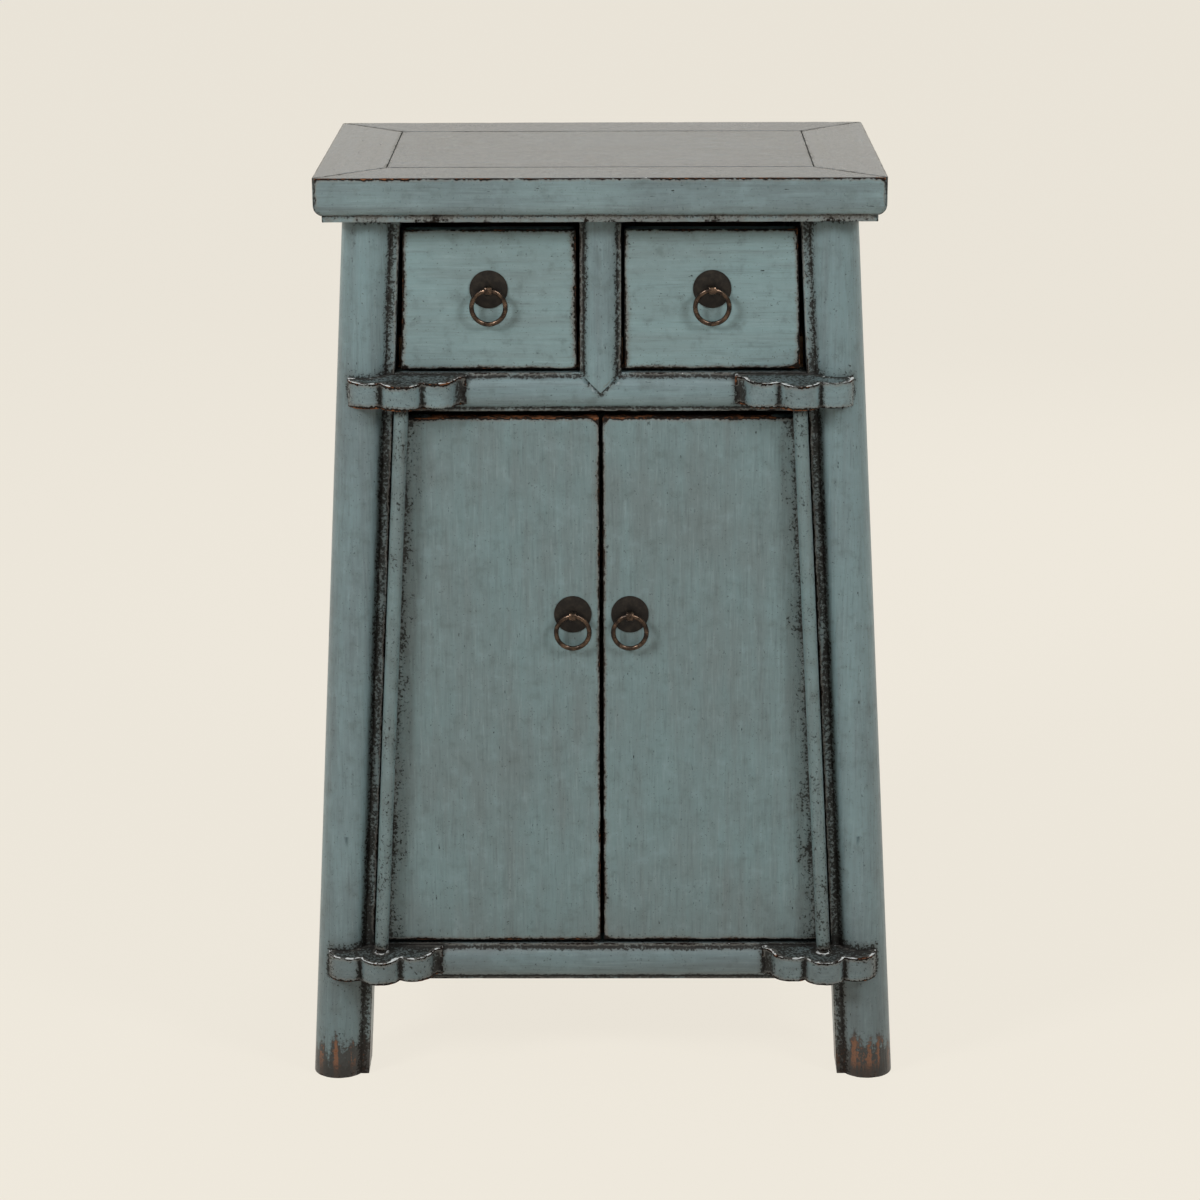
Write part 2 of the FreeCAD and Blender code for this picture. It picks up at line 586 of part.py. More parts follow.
# Lobed brackets that carry the poles, scribed to the rail and the post behind them. The upper face
# falls towards the front.
def bracket(name, bottom, socket, rail):
    middle = f"({bottom} + Size.bracket_thick / 2)"
    body, sketch = drawn_body(
        name, "XY_Plane",
        [("-Size.bracket_half", "Size.bracket_back"), ("-Size.bracket_half", "-Size.bracket_end_front"),
         ("-Size.bracket_cusp", "-Size.bracket_cusp_front"),
         ("Size.bracket_cusp", "-Size.bracket_cusp_front"),
         ("Size.bracket_half", "-Size.bracket_end_front"),
         ("Size.bracket_toe", "Size.post_flat_set - Size.rail_crown"),
         ("Size.bracket_toe", "Size.bracket_back")],
        {1: "Size.bracket_lobe_sag", 2: "Size.bracket_front - Size.bracket_cusp_front",
         3: "Size.bracket_lobe_sag", 4: "-Size.bracket_sweep_sag"})
    pad(body, sketch, "Size.bracket_thick")
    slope, slope_sketch = drawn_body(
        name + "_slope", "YZ_Plane",
        [("-Size.bracket_front - 1", "-Size.bracket_fall"), ("Size.bracket_back", "0"),
         ("Size.bracket_back", "1"), ("-Size.bracket_front - 1", "1")])
    pad(slope, slope_sketch, "2 * Size.bracket_toe + 10", symmetric=True)
    for item, height in ((body, bottom), (slope, f"{bottom} + Size.bracket_thick")):
        bind(item, Placement__Base__x=left(middle, POLE_INSET), Placement__Base__y=front(middle, "0"),
             Placement__Base__z=height)
    return cut(body, slope, socket, rail, front_post_cut)


SOCKET_RADIUS = "Size.pin_radius + Size.pin_clearance"
POLE_LOW = "Spot.low_bracket_top"
POLE_HIGH = "(Spot.high_bracket_bottom - Size.pole_end_gap)"
low_socket = rod("low_socket", SOCKET_RADIUS,
                 f"({POLE_LOW} - Size.pin_length - Size.pin_clearance)", POLE_LOW)
high_socket = rod("high_socket", SOCKET_RADIUS, POLE_HIGH, f"({POLE_HIGH} + Size.pin_length + Size.pin_lift)")
keep_pair("SIDE_upper_bracket", bracket("high_bracket", "Spot.high_bracket_bottom", high_socket, mid_rail))
keep_pair("SIDE_lower_bracket", bracket("low_bracket", "Spot.low_bracket_bottom", low_socket, low_rail))


# Ring pulls are drawn on an upright face and set on a leaning one: plate, folded staple and ring.
def pull(name, from_middle, height, set_back, thick):
    place = FreeCAD.Placement(
        FreeCAD.Vector(-value(from_middle), value(front(height, set_back)), value(height)),
        FreeCAD.Rotation(ACROSS, -math.degrees(math.atan(value("Spot.lean_y")))))
    plate_body, plate_sketch = drawn_body(
        name + "_plate_blank", "XY_Plane",
        [("0", "-Size.plate_dome"), ("Size.plate_radius", "-Size.plate_edge"), ("Size.plate_radius", "0"),
         ("0", "0")],
        {0: "Size.plate_dome_sag"})
    turn = plate_body.newObject("PartDesign::Revolution", name + "_plate_turn")
    turn.Profile = plate_sketch
    turn.ReferenceAxis = (plate_sketch, ["V_Axis"])
    turn.Angle = 360
    plate_sketch.Visibility = False
    plate_body.Placement = place

    staple = doc.addObject("PartDesign::Body", name + "_staple_body")
    shank = staple.newObject("PartDesign::AdditiveBox", name + "_shank")
    bind(shank, Length="Size.eye_width", Width=f"Size.eye_standoff - Size.eye_hole_radius - 0.6 + {thick}",
         Height="Size.shank_thick", Placement__Base__x="-Size.eye_width / 2",
         Placement__Base__y="Size.eye_hole_radius + 0.6 - Size.eye_standoff",
         Placement__Base__z="-Size.shank_thick / 2")
    clench = staple.newObject("PartDesign::AdditiveBox", name + "_clench")
    bind(clench, Length="Size.eye_width", Width="Size.clench_thick", Height="Size.clench_length * 2",
         Placement__Base__x="-Size.eye_width / 2", Placement__Base__y=thick,
         Placement__Base__z="-Size.clench_length")
    for kind, radius in (("Additive", "Size.eye_radius"), ("Subtractive", "Size.eye_hole_radius")):
        barrel = staple.newObject(f"PartDesign::{kind}Cylinder", name + "_barrel")
        barrel.Placement.Rotation = FreeCAD.Rotation(FreeCAD.Vector(0, 1, 0), 90)
        bind(barrel, Radius=radius, Height="Size.eye_width", Placement__Base__x="-Size.eye_width / 2",
             Placement__Base__y="-Size.eye_standoff")
    staple.Placement = place

    ring = doc.addObject("Part::Torus", name + "_ring_wire")
    bind(ring, Radius1="Size.ring_radius", Radius2="Size.ring_wire_radius")
    eye = place.multVec(FreeCAD.Vector(0, -value("Size.eye_standoff"), 0))
    ring.Placement = FreeCAD.Placement(
        eye - FreeCAD.Vector(0, 0, value("Size.ring_radius")), FreeCAD.Rotation(ACROSS, 90))
    keep_pair(f"SIDE_{name}_backplate", cut(plate_body, staple))
    keep_pair(f"SIDE_{name}_staple", staple)
    keep_pair(f"SIDE_{name}_ring", ring)
    return staple


door_staple = pull("door", "Size.door_pull_from_middle", "Spot.door_pull_height", "Size.door_set",
                   "Size.door_thick")
drawer_staple = pull("drawer", "Size.drawer_pull_from_middle", "Spot.drawer_pull_height", "Size.drawer_set",
                     "Size.drawer_front_thick")

# Doors: a hinge stile with its pole and pins, a flat board and two battens let into the inside.
BOARD_BACK = "Size.door_set + Size.door_thick"


def stile_plan(z):
    return (left(z, "Size.post_size + Size.door_side_gap"),
            left(z, f"{POLE_INSET} + Size.door_stile_inboard"),
            front(z, "Size.door_set"), front(z, BOARD_BACK))


def web_plan(z):
    return (left(z, f"{POLE_INSET} - Size.door_web_half"), left(z, f"{POLE_INSET} + Size.door_web_half"),
            front(z, POLE_BEHIND), front(z, "Size.door_set + 1"))


def trim_plan(z):
    return (left(z, "0"), left(z, f"{POLE_INSET} + Size.door_stile_inboard"),
            front(z, "Size.door_set - 20"), front(z, f"{BOARD_BACK} + 20"))


def batten_plan(z):
    return (left(z, POLE_INSET), "(0 - Size.door_batten_end_gap)",
            front(z, f"{BOARD_BACK} - Size.door_batten_let_in"),
            front(z, f"{BOARD_BACK} - Size.door_batten_let_in + Size.door_batten_thick"))


batten_low = block("batten_low", "Spot.door_bottom + Size.door_batten_margin",
                   "Spot.door_bottom + Size.door_batten_margin + Size.door_batten_height", batten_plan)
batten_high = block("batten_high", "Spot.door_top - Size.door_batten_margin - Size.door_batten_height",
                    "Spot.door_top - Size.door_batten_margin", batten_plan)
door_pole_stile = fuse(
    block("door_stile", "Spot.door_bottom", "Spot.door_top", stile_plan),
    block("door_web", "Spot.door_bottom", "Spot.door_top", web_plan),
    rod("door_pole", "Size.pole_radius", POLE_LOW, POLE_HIGH),
    rod("low_pin", "Size.pin_radius", f"({POLE_LOW} - Size.pin_length)", f"({POLE_LOW} + 3)"),
    rod("high_pin", "Size.pin_radius", f"({POLE_HIGH} - 3)", f"({POLE_HIGH} + Size.pin_length)"))
board_body, board_sketch = drawn_body(
    "door_board_blank", "XY_Plane",
    [(left("Spot.door_bottom", POLE_INSET), front("Spot.door_bottom", "Size.door_set")),
     ("-Size.door_meeting_gap / 2", front("Spot.door_bottom", "Size.door_set")),
     ("-Size.door_meeting_gap / 2 - Size.door_meeting_bevel", front("Spot.door_bottom", BOARD_BACK)),
     (left("Spot.door_bottom", POLE_INSET), front("Spot.door_bottom", BOARD_BACK))])
pad(board_body, board_sketch, "Spot.door_top - Spot.door_bottom", ("0", "Spot.lean_y"))
bind(board_body, Placement__Base__z="Spot.door_bottom")
stile_trim = block("stile_trim", "Spot.door_bottom - 1", "Spot.door_top + 1", trim_plan)
door_board = cut(board_body, stile_trim, batten_low, batten_high, door_staple)
keep_pair("SIDE_door_pole_stile", cut(door_pole_stile, batten_low, batten_high))
keep_pair("SIDE_door_board", door_board)
door_battens = doc.addObject("Part::Compound", "door_battens")
door_battens.Links = [batten_low, batten_high]
keep_pair("SIDE_door_battens", door_battens)

# Drawers: a leaning front lapped over two sides, a housed back and a bottom in grooves.
FRONT_BACK = "Size.drawer_set + Size.drawer_front_thick"
INNER_FACE = "(Spot.drawer_inner_x - Size.drawer_side_thick)"
OUTER_FACE = "(Spot.drawer_outer_x + Size.drawer_side_thick)"


def drawer_front_plan(z):
    share = f"(({z}) - Spot.drawer_bottom) / (Spot.drawer_top - Spot.drawer_bottom)"
    gap = (f"Size.drawer_outer_gap_low"
           f" + (Size.drawer_outer_gap_high - Size.drawer_outer_gap_low) * {share}")
    return (left(z, f"Size.post_size + {gap}"), "Spot.drawer_inner_x",
            front(z, "Size.drawer_set"), front(z, FRONT_BACK))


def drawer_side(name, x_low, x_high):
    return block(name, "Spot.drawer_bottom", "Spot.drawer_side_top",
                 lambda z: (x_low, x_high, front(z, f"{FRONT_BACK} - Size.drawer_lap"), "(Spot.drawer_back_y)"))


drawer_floor = block(
    "drawer_floor", "Spot.drawer_bottom + Size.drawer_floor_rise",
    "Spot.drawer_bottom + Size.drawer_floor_rise + Size.drawer_floor_thick",
    lambda z: (f"{OUTER_FACE} - Size.drawer_floor_groove", f"{INNER_FACE} + Size.drawer_floor_groove",
               front(z, f"{FRONT_BACK} - Size.drawer_floor_groove"),
               "(Spot.drawer_back_y - Size.drawer_side_thick + Size.drawer_floor_groove)"))
drawer_back = cut(block(
    "drawer_back", "Spot.drawer_bottom", "Spot.drawer_side_top",
    lambda z: (f"{OUTER_FACE} - Size.drawer_back_housing", f"{INNER_FACE} + Size.drawer_back_housing",
               "(Spot.drawer_back_y - Size.drawer_side_thick)", "(Spot.drawer_back_y)")), drawer_floor)
outer_side = cut(drawer_side("drawer_outer", "Spot.drawer_outer_x", OUTER_FACE), drawer_back, drawer_floor)
inner_side = cut(drawer_side("drawer_inner", INNER_FACE, "Spot.drawer_inner_x"), drawer_back, drawer_floor)
drawer_front = cut(block("drawer_front", "Spot.drawer_bottom", "Spot.drawer_top", drawer_front_plan),
                   outer_side, inner_side, drawer_floor, drawer_staple)
keep_pair("SIDE_drawer_front", drawer_front)
keep_pair("SIDE_drawer_outer_side", outer_side)
keep_pair("SIDE_drawer_inner_side", inner_side)
keep_pair("SIDE_drawer_back", drawer_back)
keep_pair("SIDE_drawer_floor", drawer_floor)

doc.recompute()
for item in doc.Objects:
    if "Invalid" in item.State or "Error" in item.State:
        raise RuntimeError(f"{item.Name} ({item.Label}) did not rebuild: {item.State}")
for node in nodes:
    shape = node.Shape
    solid_count = 2 if node.Label.endswith("battens") else 1
    if shape.isNull() or not shape.isValid() or len(shape.Solids) != solid_count:
        raise RuntimeError(f"{node.Label} has {len(shape.Solids)} solids or is not valid")

os.makedirs("parts", exist_ok=True)
for node in nodes:
    node.Shape.exportStep(f"parts/{node.Label}.step")
print(len(nodes), "pieces written")
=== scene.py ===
import json
import math
import bmesh
import bpy
from mathutils import Matrix, Vector, kdtree, noise
from mathutils.bvhtree import BVHTree

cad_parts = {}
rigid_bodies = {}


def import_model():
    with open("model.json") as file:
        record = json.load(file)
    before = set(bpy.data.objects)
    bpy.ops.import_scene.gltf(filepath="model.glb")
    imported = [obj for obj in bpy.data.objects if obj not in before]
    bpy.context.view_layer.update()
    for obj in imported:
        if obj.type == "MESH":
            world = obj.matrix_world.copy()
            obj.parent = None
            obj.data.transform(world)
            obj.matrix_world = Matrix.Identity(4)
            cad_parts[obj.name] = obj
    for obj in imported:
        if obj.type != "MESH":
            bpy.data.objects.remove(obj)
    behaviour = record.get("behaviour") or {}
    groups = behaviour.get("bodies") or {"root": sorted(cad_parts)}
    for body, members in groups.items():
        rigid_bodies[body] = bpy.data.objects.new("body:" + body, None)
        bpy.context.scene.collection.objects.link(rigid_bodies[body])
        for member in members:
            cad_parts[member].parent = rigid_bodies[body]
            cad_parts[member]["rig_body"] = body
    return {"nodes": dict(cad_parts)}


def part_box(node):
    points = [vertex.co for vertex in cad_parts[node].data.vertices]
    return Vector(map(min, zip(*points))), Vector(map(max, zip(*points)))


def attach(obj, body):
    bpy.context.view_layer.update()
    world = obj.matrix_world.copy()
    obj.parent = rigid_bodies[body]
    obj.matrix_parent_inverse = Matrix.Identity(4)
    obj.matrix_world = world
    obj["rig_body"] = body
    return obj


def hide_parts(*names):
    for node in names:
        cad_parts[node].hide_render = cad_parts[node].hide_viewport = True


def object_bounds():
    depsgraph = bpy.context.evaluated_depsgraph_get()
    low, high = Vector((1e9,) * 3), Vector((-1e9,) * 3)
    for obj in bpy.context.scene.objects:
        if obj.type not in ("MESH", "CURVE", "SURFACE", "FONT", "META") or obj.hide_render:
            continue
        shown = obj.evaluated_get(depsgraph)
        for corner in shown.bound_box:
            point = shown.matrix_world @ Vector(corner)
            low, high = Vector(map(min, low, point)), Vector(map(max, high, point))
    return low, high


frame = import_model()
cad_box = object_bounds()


# Corner posts.
# Four splayed posts of planed hardwood, round outside with a flat strip left for the rails and panels.
# They are lacquered grey-green over a dark ground, rubbed through on the arrises and worn at the feet.
near_solids = {}
node_boxes = {}
for name, solid in frame["nodes"].items():
    corners = [vertex.co.copy() for vertex in solid.data.vertices]
    near_solids[name] = BVHTree.FromPolygons(corners, [face.vertices for face in solid.data.polygons])
    node_boxes[name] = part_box(name)


def touching(node, reach, left_out):
    """The solids that come within reach of a node, and whether each is fixed to it."""
    low, high = node_boxes[node]
    found = []
    for other, tree in near_solids.items():
        if any(word in other for word in left_out):
            continue
        other_low, other_high = node_boxes[other]
        if all(low[k] - reach < other_high[k] and other_low[k] - reach < high[k] for k in range(3)):
            fixed = frame["nodes"][other]["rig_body"] == frame["nodes"][node]["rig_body"]
            found.append((tree, fixed))
    return found


def gap(node, place):
    """How far a place is from the solid of a node."""
    return near_solids[node].find_nearest(place)[3]


SHARP_TURN = math.radians(28)
CREASE_STEP = 0.002


def crease_points(bm, outward):
    """A search tree of points along the outward arrises, or the inward corners, of a solid."""
    points = []
    for edge in bm.edges:
        if len(edge.link_faces) != 2:
            continue
        turn = edge.calc_face_angle_signed(0)
        if (turn if outward else -turn) > SHARP_TURN:
            steps = max(1, int(edge.calc_length() / CREASE_STEP))
            start, end = edge.verts[0].co, edge.verts[1].co
            points += [start.lerp(end, (step + 0.5) / steps) for step in range(steps)]
    tree = kdtree.KDTree(len(points))
    for index, point in enumerate(points):
        tree.insert(point, index)
    tree.balance()
    return tree, bool(points)


MERGE_REACH = 0.00002
LONG_STRETCH = 1.8


def score(bm, spacing):
    """Cuts every face along a grid, closer across the piece than along it."""
    corners = [vertex.co.copy() for vertex in bm.verts]
    low = Vector([min(corner[axis] for corner in corners) for axis in range(3)])
    spread = Vector([max(corner[axis] for corner in corners) for axis in range(3)]) - low
    for axis in range(3):
        apart = spacing * (LONG_STRETCH if spread[axis] == max(spread) else 1)
        count = int(spread[axis] / apart)
        facing = Vector([1 if part == axis else 0 for part in range(3)])
        for cut in range(1, count + 1):
            place = facing * (low[axis] + spread[axis] * cut / (count + 1))
            everything = bm.verts[:] + bm.edges[:] + bm.faces[:]
            bmesh.ops.bisect_plane(bm, geom=everything, dist=MERGE_REACH, plane_co=place, plane_no=facing)
    bmesh.ops.triangulate(bm, faces=bm.faces)


def put(name, data):
    """A new object in the scene."""
    item = bpy.data.objects.new(name, data)
    bpy.context.scene.collection.objects.link(item)
    return item


def hold(piece, slot, *nodes):
    """Puts a finished piece in the place of its nodes."""
    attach(piece, frame["nodes"][nodes[0]]["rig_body"])
    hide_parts(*nodes)


def glued(first, second):
    """One mesh of two nodes that are glued together under the finish."""
    blank = put("glued_blank", frame["nodes"][first].data.copy())
    other = put("glued_other", frame["nodes"][second].data.copy())
    for part in (blank, other):
        bm = bmesh.new()
        bm.from_mesh(part.data)
        bmesh.ops.remove_doubles(bm, verts=bm.verts, dist=MERGE_REACH)
        bm.to_mesh(part.data)
        bm.free()
    glue = blank.modifiers.new("glue", "BOOLEAN")
    glue.operation = "UNION"
    glue.solver = "EXACT"
    glue.object = other
    mesh = bpy.data.meshes.new_from_object(blank.evaluated_get(bpy.context.evaluated_depsgraph_get()))
    for part in (blank, other):
        bpy.data.objects.remove(part)
    return mesh


FLAT_TURN = math.radians(0.5)
SMOOTH_TURN = math.radians(40)
WEAR_REACH = 0.006
JOINT_REACH = 0.0012
LIP_RISE = 0.2
WOBBLE_SCALE = 9
CHEW_SCALE = 160
PULL_PARTS = ("backplate", "staple", "ring")


def worked(node, slot, material, arris, side, soil, crease_soil, wobble=0.0002, chew=0.0004, ledge=0.0,
           left_out=(), flush=None, glued_to=None):
    """A hand-worked copy of a node: arrises eased, faces a little uneven, with wear and soil measured on
    it. Side is the mesh's spacing across the piece. Soil and crease_soil are how far dirt spreads from
    joints and corners, ledge is the dust on upward faces, left_out names what gathers none, flush names
    a solid joined on without a gap, and glued_to a node that becomes one piece with this one."""
    bm = bmesh.new()
    bm.from_mesh(glued(node, glued_to) if glued_to else frame["nodes"][node].data)
    bmesh.ops.remove_doubles(bm, verts=bm.verts, dist=MERGE_REACH)
    bmesh.ops.dissolve_limit(bm, angle_limit=FLAT_TURN, verts=bm.verts, edges=bm.edges)
    arris_tree, has_arris = crease_points(bm, True)
    corner_tree, has_corner = crease_points(bm, False)
    eased = [edge for edge in bm.edges
             if len(edge.link_faces) == 2 and edge.calc_face_angle_signed(0) > SHARP_TURN]
    if flush:
        eased = [edge for edge in eased
                 if gap(flush, (edge.verts[0].co + edge.verts[1].co) / 2) > JOINT_REACH]
    bmesh.ops.bevel(bm, geom=eased, offset=arris, offset_type="OFFSET", segments=2, profile=0.5,
                    affect="EDGES", clamp_overlap=True)
    score(bm, side)
    bm.normal_update()
    nodes = [node, glued_to] if glued_to else [node]
    solids = []
    for part in nodes:
        solids += touching(part, soil, left_out + PULL_PARTS + tuple(nodes))
    wear = bm.verts.layers.float.new("wear")
    grime = bm.verts.layers.float.new("grime")
    glint_lip = bm.verts.layers.float.new("glint_lip")
    for vertex in bm.verts:
        place = vertex.co
        rubbed = max(0, 1 - arris_tree.find(place)[2] / WEAR_REACH) if has_arris else 0
        dirt = max(0, 1 - corner_tree.find(place)[2] / crease_soil) if has_corner else 0
        for tree, fixed in solids:
            distance = tree.find_nearest(place, soil)[3]
            if distance is not None:
                dirt = max(dirt, 1 - distance / soil)
                if fixed and distance < JOINT_REACH:
                    rubbed = 0
        vertex[wear] = rubbed
        vertex[grime] = max(dirt, ledge * vertex.normal.z)
        # The rubbed level of upward-facing arrises, used only to place painted white highlights.
        vertex[glint_lip] = rubbed if vertex.normal.z > LIP_RISE else 0
    for vertex in bm.verts:
        if flush and gap(flush, vertex.co) < JOINT_REACH:
            vertex[wear] = 0
            continue
        sink = wobble * (0.5 + 0.5 * noise.noise(vertex.co * WOBBLE_SCALE))
        sink += chew * vertex[wear] * max(0, noise.noise(vertex.co * CHEW_SCALE))
        vertex.co -= vertex.normal * sink
    mesh = bpy.data.meshes.new(node + "_finish")
    bm.to_mesh(mesh)
    bm.free()
    mesh.shade_smooth()
    mesh.set_sharp_from_angle(angle=SMOOTH_TURN)
    mesh.materials.append(material)
    piece = put(node + "_finish", mesh)
    hold(piece, slot, *nodes)
    return piece


def paint(red, green, blue):
    """A colour as a painter's card shows it, 0 to 255, in linear light."""
    return [((part / 255 + 0.055) / 1.055) ** 2.4 for part in (red, green, blue)] + [1]


def step(tree, kind, inputs, out=0, **settings):
    """One node of a finish, with its inputs set or joined. Returns the output asked for."""
    made = tree.nodes.new("ShaderNode" + kind)
    for key, setting in settings.items():
        setattr(made, key, setting)
    for key, source in inputs.items():
        if isinstance(source, bpy.types.NodeSocket):
            tree.links.new(source, made.inputs[key])
        else:
            made.inputs[key].default_value = source
    return made.outputs[out]


def new_finish(name):
    """A material with its tree and its shader."""
    material = bpy.data.materials.new(name)
    material.use_nodes = True
    tree = material.node_tree
    return material, tree, tree.nodes["Principled BSDF"]


MIX_AMOUNT, MIX_BELOW, MIX_ABOVE = 0, 6, 7
MIX_COLOUR = 2


def cover(tree, amount, below, above):
    """One colour laid over another by an amount."""
    inputs = {MIX_AMOUNT: amount, MIX_BELOW: below, MIX_ABOVE: above}
    return step(tree, "Mix", inputs, MIX_COLOUR, data_type="RGBA")


def grains(tree, place, size, detail=4):
    """Noise whose grains are about the given size, in metres."""
    return step(tree, "TexNoise", {"Vector": place, "Scale": 1 / size, "Detail": detail, "Roughness": 0.62})


def ramp(tree, level, low, high, most=1.0):
    """Nothing below low, most above high, and a soft slope between."""
    return step(tree, "MapRange", {"Value": level, "From Min": low, "From Max": high, "To Max": most},
                interpolation_type="SMOOTHSTEP")


def sum_of(tree, first, second, share=1.0):
    """First plus a share of second, either of them a level or a number."""
    return step(tree, "Math", {0: second, 1: share, 2: first}, operation="MULTIPLY_ADD")


def product(tree, first, second):
    """Two levels or numbers multiplied."""
    return step(tree, "Math", {0: first, 1: second}, operation="MULTIPLY")


def larger(tree, first, second):
    """The larger of two levels."""
    return step(tree, "Math", {0: first, 1: second}, operation="MAXIMUM")


def attribute(tree, name):
    """A level that was measured on the mesh."""
    return step(tree, "Attribute", {}, "Fac", attribute_name=name)


def lacquer(name, grain, fresh, faded, roughness, rub=0.0, glint_amount=0.0, mottle=0.0, feet=False):
    """Worn lacquer: two shades in clouds, streaks and dashes along the grain, soil in the corners and low
    down, and arrises rubbed through to the black ground and the wood. Rub raises the wear on the arrises,
    the amount after rub adds painted white highlights on their upward lips, mottle raises the soil on open
    faces, and feet scuffs and bares the lowest part."""
    material, tree, shader = new_finish(name)
    place = step(tree, "TexCoord", {}, "Object")
    height = step(tree, "SeparateXYZ", {0: place}, "Z")
    along = step(tree, "Mapping", {"Vector": place, "Scale": grain})
    dashed = step(tree, "Mapping", {"Vector": place, "Scale": [0.25 + 0.75 * part for part in grain]})
    cloud = grains(tree, place, 0.16)
    streak = grains(tree, along, 0.010, 5)
    thread = grains(tree, along, 0.0020, 3)
    dash = grains(tree, dashed, 0.0028, 2)
    patch = grains(tree, place, 0.035)
    fine = grains(tree, place, 0.0035, 5)

    # The lacquer itself: clouds, streaks, threads, blotches and pits, and a painted shade that darkens it
    # low down.
    shade = cover(tree, ramp(tree, sum_of(tree, cloud, streak, 0.6), 0.55, 1.05), fresh, faded)
    shade = cover(tree, ramp(tree, streak, 0.5, 0.8, 0.24), shade, paint(85, 94, 94))
    shade = cover(tree, ramp(tree, thread, 0.52, 0.72, 0.25), shade, paint(62, 68, 67))
    shade = cover(tree, ramp(tree, thread, 0.46, 0.25, 0.16), shade, paint(158, 175, 177))
    blotch = grains(tree, place, 0.013, 5)
    shade = cover(tree, ramp(tree, blotch, 0.5, 0.74, 0.42), shade, paint(76, 87, 87))
    shade = cover(tree, ramp(tree, blotch, 0.48, 0.28, 0.22), shade, paint(134, 156, 159))
    pit = grains(tree, place, 0.0019, 1)
    shade = cover(tree, ramp(tree, pit, 0.68, 0.76, 0.6), shade, paint(48, 50, 48))
    # Painted shade: darker towards the floor, where less light falls.
    shade = cover(tree, ramp(tree, height, 0.22, 0.06, 0.3), shade, paint(66, 68, 66))

    # Soil along joints, in corners and low down, breaking up into black specks and packed dirt.
    worn = attribute(tree, "wear")
    soiled = attribute(tree, "grime")
    low_dirt = step(tree, "MapRange", {"Value": height, "From Min": 0.3, "From Max": 0.03, "To Max": 0.2})
    soil = sum_of(tree, sum_of(tree, soiled, low_dirt), worn, 0.25)
    soil = sum_of(tree, sum_of(tree, soil, mottle - 0.6), patch, 1.2)
    shade = cover(tree, ramp(tree, soil, 0.15, 1.1, 0.62), shade, paint(66, 65, 60))
    speckle = sum_of(tree, sum_of(tree, soil, -1.2), grains(tree, place, 0.0024, 2), 2.4)
    black = larger(tree, ramp(tree, speckle, 0.6, 0.96, 0.85), ramp(tree, dash, 0.71, 0.77, 0.9))
    shade = cover(tree, black, shade, paint(32, 28, 25))
    packed = sum_of(tree, sum_of(tree, soiled, -0.4), fine, 0.8)
    packed = ramp(tree, packed, 0.82, 1.02, 0.9)
    shade = cover(tree, packed, shade, paint(18, 16, 15))

    # Arrises thinned, then rubbed to the ground and the wood, with painted white highlights on the upper
    # lips.
    rubbed = sum_of(tree, sum_of(tree, worn, rub - 0.85), fine, 0.8)
    rubbed = sum_of(tree, rubbed, patch, 0.9)
    shade = cover(tree, ramp(tree, rubbed, 0.55, 0.85, 0.6), shade, paint(108, 106, 101))
    ground = ramp(tree, rubbed, 0.84, 0.94)
    shade = cover(tree, ground, shade, paint(25, 20, 17))
    shade = cover(tree, ramp(tree, rubbed, 1.1, 1.2, 0.9), shade, paint(118, 75, 49))
    # Painted highlight: white flecks on the rubbed upward lips, standing in for the glint of light from
    # above.
    glint_lips = attribute(tree, "glint_lip")
    glint = sum_of(tree, sum_of(tree, glint_lips, glint_amount - 1.0), grains(tree, place, 0.007, 2), 2.0)
    glint = ramp(tree, glint, 1.26, 1.32)
    shade = cover(tree, glint, shade, paint(216, 220, 219))
    if feet:
        # Feet scuffed dark, bared to the wood in streaks and gnawed at the floor.
        low = step(tree, "MapRange", {"Value": height, "From Min": 0.055, "From Max": 0.0})
        scuffed = sum_of(tree, sum_of(tree, sum_of(tree, low, streak, 1.2), fine, 0.9), patch, 0.5)
        shade = cover(tree, ramp(tree, scuffed, 1.55, 1.78, 0.92), shade, paint(38, 34, 31))
        bared = sum_of(tree, sum_of(tree, streak, fine, 0.5), low, 0.12)
        bared = product(tree, ramp(tree, low, 0.2, 0.4), ramp(tree, bared, 0.86, 0.94, 0.85))
        shade = cover(tree, bared, shade, paint(118, 76, 50))
        gnawed = sum_of(tree, sum_of(tree, low, fine, 0.5), -0.25)
        shade = cover(tree, ramp(tree, gnawed, 0.66, 0.9, 0.9), shade, paint(26, 22, 20))

    # Dirt and bare ground are duller than the lacquer and lie a little deeper.
    tree.links.new(shade, shader.inputs["Base Color"])
    dark = larger(tree, larger(tree, black, packed), ground)
    tree.links.new(sum_of(tree, 0.5, dark, -0.42), shader.inputs["Specular IOR Level"])
    dull = sum_of(tree, sum_of(tree, roughness - 0.1, fine, 0.2), black, 0.25)
    tree.links.new(sum_of(tree, dull, glint, -0.2), shader.inputs["Roughness"])
    relief = sum_of(tree, sum_of(tree, thread, fine, 0.5), ground, -0.8)
    relief = sum_of(tree, relief, black, -0.6)
    bump = step(tree, "Bump", {"Height": relief, "Strength": 0.4, "Distance": 0.0008})
    tree.links.new(bump, shader.inputs["Normal"])
    return material


UPRIGHT = (1, 1, 0.05)
LEVEL = (0.05, 1, 1)
DEEP = (1, 0.05, 1)
GREEN = paint(111, 133, 136)
GREY_GREEN = paint(100, 115, 118)
post_lacquer = lacquer("post_lacquer", UPRIGHT, GREEN, GREY_GREEN, roughness=0.34, mottle=0.1, feet=True)
for node in ("left_front_post", "right_front_post", "left_back_post", "right_back_post"):
    worked(node, "lacquer", post_lacquer, arris=0.0014, side=0.006, soil=0.0055, crease_soil=0.008)


